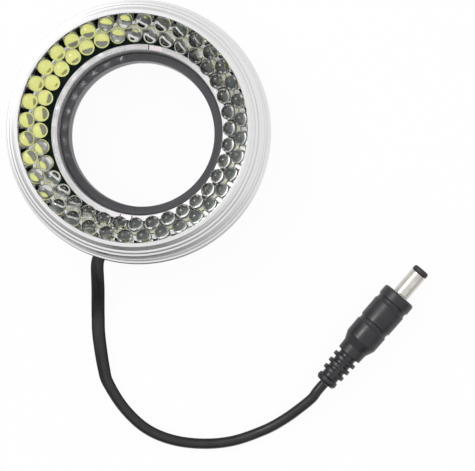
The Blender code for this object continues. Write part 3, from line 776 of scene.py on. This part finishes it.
# %% Thumbscrews
shank_low, shank_high, thread_pitch = 2.3, 10.2, 0.5  # in millimetres
shank_radius, thread_depth, run_out_radius, run_out = 1.5 * mm, 0.27 * mm, 1.2 * mm, 0.4 * mm
head_heights = np.array([10.2, 10.2, 10.5, 14.9, 15.2, 15.2, 14.9, 14.9]) * mm
head_radii = np.array([2.6, 3.0, 3.0, 2.7]) * mm
recess_radii = np.array([2.0, 1.8]) * mm
knurl_depth, knurl_teeth = 0.07, 8


def thumbscrew():
    """Rows along the axis and columns round it. On the shank the radius falls by the depth
    of a 60 degree thread, d (1 - |2 frac(z / p - a / 2 pi) - 1|); on the head it is
    R (1 - k sin^2(8 a))."""
    shank = np.arange(shank_low, shank_high, thread_pitch / 10) * mm
    height = np.concatenate([[shank_low * mm], shank, head_heights])
    angle = np.linspace(0, full_turn, 128, endpoint=False)
    spread = shank[:, None] / (thread_pitch * mm) - angle / full_turn
    thread = shank_radius - thread_depth * (1 - np.abs(2 * np.mod(spread, 1.0) - 1))
    fade = np.clip((shank[:, None] - shank_low * mm) / run_out, 0, 1)
    thread = run_out_radius + (thread - run_out_radius) * fade
    knurl = 1 - knurl_depth * np.sin(knurl_teeth * angle) ** 2
    axis, plain = 0 * angle[None], 1 + 0 * angle[None]
    radius = np.concatenate([axis, thread, shank_radius * plain, head_radii[:, None] * knurl,
                             recess_radii[:, None] * plain, axis])
    return revolved(radius, height)


clamp_seat = 24.1 * mm
nose_outline = np.array([(0, 0), (1.2, 0), (1.2, 2.0), (0, 2.0)]) * mm
nose = turned(eased(nose_outline, 0.25 * mm), 48)
for number, angle in enumerate(clamp_turns, start=1):
    seat = clamp_seat * direction(angle) + clamp_z * upright
    screw, tip = (laid(part, seat, direction(angle), upright) for part in (thumbscrew(), nose))
    make_piece(f"thumbscrew_{number}", [(plated_steel, [screw])],
               cad_nodes=[f"clamp_screw_{number}"], body=f"clamp_screw_body_{number}",
               crease=30.0)
    make_piece(f"thumbscrew_tip_{number}", [(white_nylon, [tip])],
               cad_nodes=[f"clamp_tip_{number}"], body=f"clamp_tip_body_{number}")


# %% Small screws
def small_screw(head, head_height, shank, length):
    """A domed head whose top is at z = 0, on a shank that goes down from it."""
    point_length = 0.3 * mm
    dome = np.array([(0, 0), (0.55, -0.04), (0.90, -0.30), (1.0, -0.62), (1.0, -1.0)])
    stem = np.array([(shank, -head_height), (shank, -length + point_length),
                     (0.6 * shank, -length), (0, -length)])
    outline = np.concatenate([dome * (head, head_height), stem])
    return turned(eased(outline, 0.12 * head_height), 64)


# The cross cut as shares of the head, and the angle from one screw's cross to the next.
blade_reach, blade_width, blade_depth, twist_step = 0.62, 0.12, 0.6, 0.7


def fit_screws(label, turns, place, top_z, facing, head, head_height, shank, length):
    """Screws round Z, with a cross cut. Its two blades overlap, so each is cut alone."""
    for number, angle in enumerate(turns, start=1):
        seat = place * direction(angle) + top_z * upright
        screw = laid(small_screw(head, head_height, shank, length), seat, facing * upright,
                     direction(angle))
        piece = make_piece(f"{label}_head_{number}", [(plated_steel, [screw])],
                           cad_nodes=[f"{label}_{number}"])
        twist = direction(angle + twist_step * number)
        reach, width, depth = head * blade_reach, head * blade_width, head_height * blade_depth
        for x, y in ((reach, width), (width, reach)):
            blade = block((-x, -y, -depth), (x, y, depth))
            cut_away(piece, [laid(blade, seat, facing * upright, twist)])


fit_screws("cover_screw", cover_screw_turns, cover_screw_place, 5.4 * mm, -1.0,
           1.9 * mm, 1.1 * mm, 1.0 * mm, 6.3 * mm)
fit_screws("board_screw", board_screw_turns, board_screw_place, 15.45 * mm, 1.0,
           1.6 * mm, 1.0 * mm, 0.8 * mm, 8.35 * mm)

# %% [markdown]
# ## The lamps
# Each lamp is a clear casting round two plated leads. One lead ends in a small cup filled
# with yellow phosphor, and the dome magnifies it. Seen along its axis a lamp looks yellow
# all over; seen from the side it looks dark and glassy. That follows mostly from the shapes
# inside and the way the casting bends light. The phosphor also has a small painted glow,
# though the lamps are off, and it pales where it is seen at a low angle, through the side
# of a casting.

# %% Lamp materials
# Painted glow: the phosphor glows a little although the lamps are off, and the glow fades out
# at a low angle.
painted_glow_colour = (0.82, 0.84, 0.23)
clear_epoxy, tree, shader = new_material(
    "clear_epoxy", Transmission_Weight=1.0, IOR=1.53, Metallic=0.0)
marks = place_group(tree, handling_marks, Cloud_Scale=500.0, Grain_Scale=5000.0)
clouds = ramp(tree, marks.outputs["Cloud"], 0.0, 1.0)
feed(tree, shader,
     Base_Color=blend_colours(tree, clouds, (0.97, 0.98, 0.95), (1.0, 1.0, 0.99)),
     Roughness=ramp(tree, marks.outputs["Cloud"], 0.0, 0.02))
phosphor = make_mottled("phosphor", (0.98, 0.97, 0.42), (0.87, 0.86, 0.27), 0.45, 0.60,
                        cloud=3000.0, grain=9000.0, Emission_Color=(*painted_glow_colour, 1.0),
                        Emission_Strength=0.50)
tree = phosphor.node_tree
shader = tree.nodes["Principled BSDF"]
facing = tree.nodes.new("ShaderNodeLayerWeight").outputs["Facing"]
glancing = ramp(tree, facing, 0.0, 1.0, from_low=0.32, from_high=0.50)
yellow = shader.inputs["Base Color"].links[0].from_socket
feed(tree, shader, Base_Color=blend_colours(tree, glancing, yellow, (0.62, 0.64, 0.62)),
     Emission_Color=blend_colours(tree, glancing, painted_glow_colour, (0.0, 0.0, 0.0)))
print("lamp materials", clear_epoxy.name, phosphor.name)

# %% One lamp
lamp_radius = 2.43 * mm
lamp_body = 6.1 * mm
lamp_lean = math.radians(29.0)


def dome_outline():
    """A quarter circle down to the side, then the side and the flat base with a small edge."""
    angle = np.linspace(quarter_turn, 0, 13)
    dome = lamp_radius * np.stack([np.cos(angle), np.sin(angle)], axis=1)
    dome[0, 0] = 0.0
    foot = np.array([(2.43, -2.0), (2.43, -4.2), (2.43, -5.95), (2.28, -6.1), (0.0, -6.1)]) * mm
    return np.concatenate([dome, foot])


casting = turned(dome_outline(), 40)
cup = turned(np.array([(0, -3.34), (0.55, -3.34), (0.88, -2.96), (1.12, -2.66), (1.24, -2.64),
                       (1.26, -3.30), (0.70, -3.80), (0, -3.80)]) * mm, 28)
phosphor_fill = turned(np.array([(0, -2.82), (0.40, -2.83), (0.74, -2.86), (0.88, -2.92),
                                 (0.54, -3.32), (0, -3.32)]) * mm, 24)
# The bar under the cup and its leg, then the post beside the cup and its leg.
lead_blocks = np.array([
    [(-0.25, -1.65, -4.10), (0.25, 0.55, -3.55)], [(-0.25, -1.52, -6.40), (0.25, -1.02, -4.05)],
    [(-0.25, 1.30, -3.60), (0.25, 1.90, -2.80)], [(-0.25, 1.02, -6.40), (0.25, 1.52, -3.55)],
]) * mm
lead_parts = [cup] + [block(low, high) for low, high in lead_blocks]
print("lamp casting", len(casting[1]), "faces")

# %% Rows of lamps
hand = np.random.default_rng(5)
hand_spread = [0.012, 0.012, 0.10]
strings_in_row, lamps_in_string = 12, 3
lamp_pitch = math.radians(10.0)
board_top = 14.15 * mm
link_z = 14.7 * mm
leg_half = 0.25 * mm
leg_offset = 1.27 * mm
leg_overlap = 0.5 * mm
lamp_rows = (("inner_lamp", 29.602 * mm, 24.720 * mm, math.radians(10.5)),
             ("outer_lamp", 33.300 * mm, 26.770 * mm, math.radians(-4.8)))


def leg_foot(leg_radius, turn, offset):
    """The point under a leg of a lamp at an angle round Z, set off to one side."""
    return leg_radius * direction(turn) + offset * direction(turn + quarter_turn)


def place_lamps(label, ring_radius, dome_z, first_turn):
    """Twelve strings of three lamps. Each lamp is set by hand, so it tips and twists a
    little. Its leads stand upright on the board, and neighbours share a bent lead."""
    leg_radius = ring_radius + lamp_body * math.sin(lamp_lean)
    leg_top = dome_z - lamp_body * math.cos(lamp_lean) + leg_overlap
    leg = block((-leg_half, -leg_half, board_top), (leg_half, leg_half, leg_top))
    for string in range(strings_in_row):
        castings, metal, glow = [], [], []
        for lamp in range(lamps_in_string):
            turn = first_turn + lamp_pitch * (lamps_in_string * string + lamp)
            lean, sway, twist = hand.normal(0, hand_spread)
            axis = unit(direction(turn, quarter_turn + lamp_lean + lean)
                        + sway * direction(turn + quarter_turn))
            across = direction(turn + quarter_turn + twist)
            side = np.cross(unit(across - axis * (across @ axis)), axis)
            centre = ring_radius * direction(turn) + dome_z * upright
            castings.append(laid(casting, centre, axis, side))
            metal += [laid(part, centre, axis, side) for part in lead_parts]
            glow.append(laid(phosphor_fill, centre, axis, side))
            for offset in (-leg_offset, leg_offset):
                metal.append(laid(leg, leg_foot(leg_radius, turn, offset), upright,
                                  direction(turn)))
            if lamp < lamps_in_string - 1:
                start = leg_foot(leg_radius, turn, leg_offset)
                along = leg_foot(leg_radius, turn + lamp_pitch, -leg_offset) - start
                span = np.linalg.norm(along)
                link = block((-leg_half, -leg_half, 0), (leg_half, leg_half, span))
                metal.append(laid(link, start + link_z * upright, along / span, upright))
        make_piece(f"{label}_{string + 1:02d}",
                   [(clear_epoxy, castings), (tinned_wire, metal), (phosphor, glow)],
                   cad_nodes=[f"{label}_string_{string + 1:02d}"])


for row in lamp_rows:
    place_lamps(*row)

# %% [markdown]
# ## The lamp board
# The board is a ring of green laminate that carries every lamp. It stays as the CAD model
# has it, under a coat of lacquer, and gains the small cones of solder at the lamps' feet.

# %% Solder
solder_outline = np.array([(0, 0.75), (0.34, 0.62), (0.48, 0.30), (0.78, 0.08), (0.85, 0.0),
                           (0, 0.0)]) * mm
solder_cone = turned(solder_outline, 10)
solder_gap = 0.002 * mm
solder_base = (board_top + solder_gap) * upright
solder_radii = (32.559 * mm, 36.257 * mm)
cones = []
for solder_radius, (*_, first_turn) in zip(solder_radii, lamp_rows):
    for turn in around(strings_in_row * lamps_in_string, first_turn):
        for offset in (-leg_offset, leg_offset):
            foot = leg_foot(solder_radius, turn, offset) + solder_base
            cones.append(laid(solder_cone, foot, upright, direction(turn)))
make_piece("solder_joints", [(solder, cones)])

# %% [markdown]
# ## Where the lead enters
# A soft grommet closes the hole in the skirt. Behind it, inside the closed housing, a tie
# stops the lead from being pulled out and two thin wires go up to the board.

# %% Grommet
grommet_outline = np.array([
    (0, 38.43), (2.3, 38.43), (2.3, 39.03), (1.9, 39.03), (1.9, 40.93), (2.9, 40.93),
    (2.9, 41.25), (2.6, 41.53), (0, 41.53)]) * mm
grommet = turned(eased(grommet_outline, 0.15 * mm), 64)
make_piece("grommet",
           [(black_vinyl, [laid(grommet, cord_z * upright, cord_out, upright)])],
           cad_nodes=["cord_grommet"])

# %% [markdown]
# The board and the parts behind it keep their CAD shapes and only get a finish here.

# %% Finishes of the CAD pieces that stay
finishes = {
    "led_board": board_lacquer, "resistor_array": black_resin, "input_diode": black_resin,
    "board_spacer": brass, "cord_tail": black_vinyl, "cord_tie": white_nylon,
    "supply_wire_negative": black_vinyl, "supply_wire_positive": red_vinyl,
}
finished = []
for node_name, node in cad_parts.items():
    for start, finish in finishes.items():
        if node_name.startswith(start):
            node.data.materials.clear()
            node.data.materials.append(finish)
            finished.append(node_name)
print("CAD pieces with a finish", len(finished))

# %% [markdown]
# ## Floor and light
# The floor is a white sheet. To the camera it glows almost at white, so the background is
# clean, and a small share stays an ordinary matt surface that takes the object's shadow.
# Metal and glass see the same sheet, but for them its glow is darker towards the left, and
# near the lead it is dimmed by a painted shadow of the ring. That gives the turned steps their
# dark lines.

# %% Floor
camera_share, glossy_share = 0.95, 0.80
# The centre of the painted shadow in the floor's glow that metal and glass see.
painted_shadow_centre = (-0.008, -0.070, 0.0)
floor_box = block((-1.5, -1.5, -0.02), (1.5, 1.5, -0.0001))
floor_material, tree, shader = new_material("floor_sheet", Roughness=0.9)
floor = add_object("floor", outward_mesh("floor", [(floor_material, [floor_box])]))
marks = place_group(tree, handling_marks, Cloud_Scale=20.0, Grain_Scale=400.0)
clouds = ramp(tree, marks.outputs["Cloud"], 0.0, 1.0)
feed(tree, shader,
     Base_Color=blend_colours(tree, clouds, (0.86, 0.86, 0.86), (0.89, 0.89, 0.89)))
light_path = tree.nodes.new("ShaderNodeLightPath")
mirrored = add_math(tree, "MAXIMUM", light_path.outputs["Is Glossy Ray"],
                    light_path.outputs["Is Transmission Ray"])
seen = add_math(tree, "MAXIMUM",
                add_math(tree, "MULTIPLY", light_path.outputs["Is Camera Ray"], camera_share),
                add_math(tree, "MULTIPLY", mirrored, glossy_share))
place = coordinates(tree)
# Painted shadow: the glow that mirror and glass rays see is dimmed round a point beside the
# lead, where the ring's shadow falls, and it is darker towards the left.
reach = add_vector_math(tree, "DISTANCE", place, painted_shadow_centre)
painted_shadow_near_lead = ramp(tree, reach, 0.06, 1.0, from_low=0.018, from_high=0.075)
to_left = ramp(tree, split_axes(tree, place)["X"], 0.54, 0.94, from_low=-0.065,
               from_high=0.045)
fade = add_math(tree, "MULTIPLY", painted_shadow_near_lead, to_left)
glow = tree.nodes.new("ShaderNodeEmission")
tree.links.new(add_math(tree, "MAXIMUM", fade, light_path.outputs["Is Camera Ray"]),
               glow.inputs["Strength"])
mix = tree.nodes.new("ShaderNodeMixShader")
tree.links.new(seen, mix.inputs[0])
tree.links.new(shader.outputs[0], mix.inputs[1])
tree.links.new(glow.outputs[0], mix.inputs[2])
tree.links.new(mix.outputs[0], tree.nodes["Material Output"].inputs["Surface"])
print("floor", floor_material.name)

# %% [markdown]
# The sky is one soft white dome. Overhead it is even. Lower down it is darker on the side of
# the lead and a little brighter to the right, and a round patch at the upper left is the
# brightest. To the camera it is plain white.

# %% Sky
low_light, least_light, overhead_light = 0.70, 0.02, 0.92
patch_light, dark_light = 1.5, -0.58
world = bpy.data.worlds.new("sky")
world.use_nodes = True
bpy.context.scene.world = world
tree = world.node_tree
background = tree.nodes["Background"]
background.inputs["Color"].default_value = (1.0, 1.0, 1.0, 1.0)
sky_point = coordinates(tree, "Generated")


def lobe(centre, sharpness):
    """A round patch of the sky: max(direction . centre, 0) to the power of its sharpness."""
    near = add_vector_math(tree, "DOT_PRODUCT", sky_point, Vector(centre).normalized())
    return add_math(tree, "POWER", add_math(tree, "MAXIMUM", near, 0.0), sharpness)


patch = lobe((-0.60, 0.42, 0.68), sharpness=18.0)
dark_side = lobe((-0.10, -0.95, 0.10), sharpness=1.5)
slant = add_vector_math(tree, "DOT_PRODUCT", sky_point, (0.20, 0.15, 0.0))
low = add_math(tree, "MULTIPLY_ADD", dark_side, dark_light,
               add_math(tree, "ADD", slant, low_light))
overhead = ramp(tree, split_axes(tree, sky_point)["Z"], 0.0, 1.0, from_low=0.35,
                from_high=0.80)
sky = tree.nodes.new("ShaderNodeMix")
tree.links.new(overhead, sky.inputs["Factor"])
tree.links.new(add_math(tree, "MAXIMUM", low, least_light), sky.inputs["A"])
sky.inputs["B"].default_value = overhead_light
light = add_math(tree, "MULTIPLY_ADD", patch, patch_light, sky.outputs["Result"])
light_path = tree.nodes.new("ShaderNodeLightPath")
strength = tree.nodes.new("ShaderNodeMix")
tree.links.new(light_path.outputs["Is Camera Ray"], strength.inputs["Factor"])
tree.links.new(light, strength.inputs["A"])
strength.inputs["B"].default_value = 1.0
tree.links.new(strength.outputs["Result"], background.inputs["Strength"])
print("sky nodes", len(tree.nodes))

# %% [markdown]
# One small soft lamp stands at the upper left and gives the highlights.

# %% Key lamp
key_data = bpy.data.lights.new("key", "AREA")
key_data.shape = "SQUARE"
key_data.size = 0.15
key_data.energy = 1.0
key = add_object("key", key_data)
key.location = (-0.35, 0.25, 0.60)
key_aim = Vector((0.0, 0.0, 0.02)) - key.location
key.rotation_euler = key_aim.to_track_quat("-Z", "Y").to_euler()
bpy.context.scene.view_settings.view_transform = "Standard"
print("key lamp", key_data.energy, "W")

# %% [markdown]
# ## The last step
# The scene is brought up to date.

# %% Last update
bpy.context.view_layer.update()
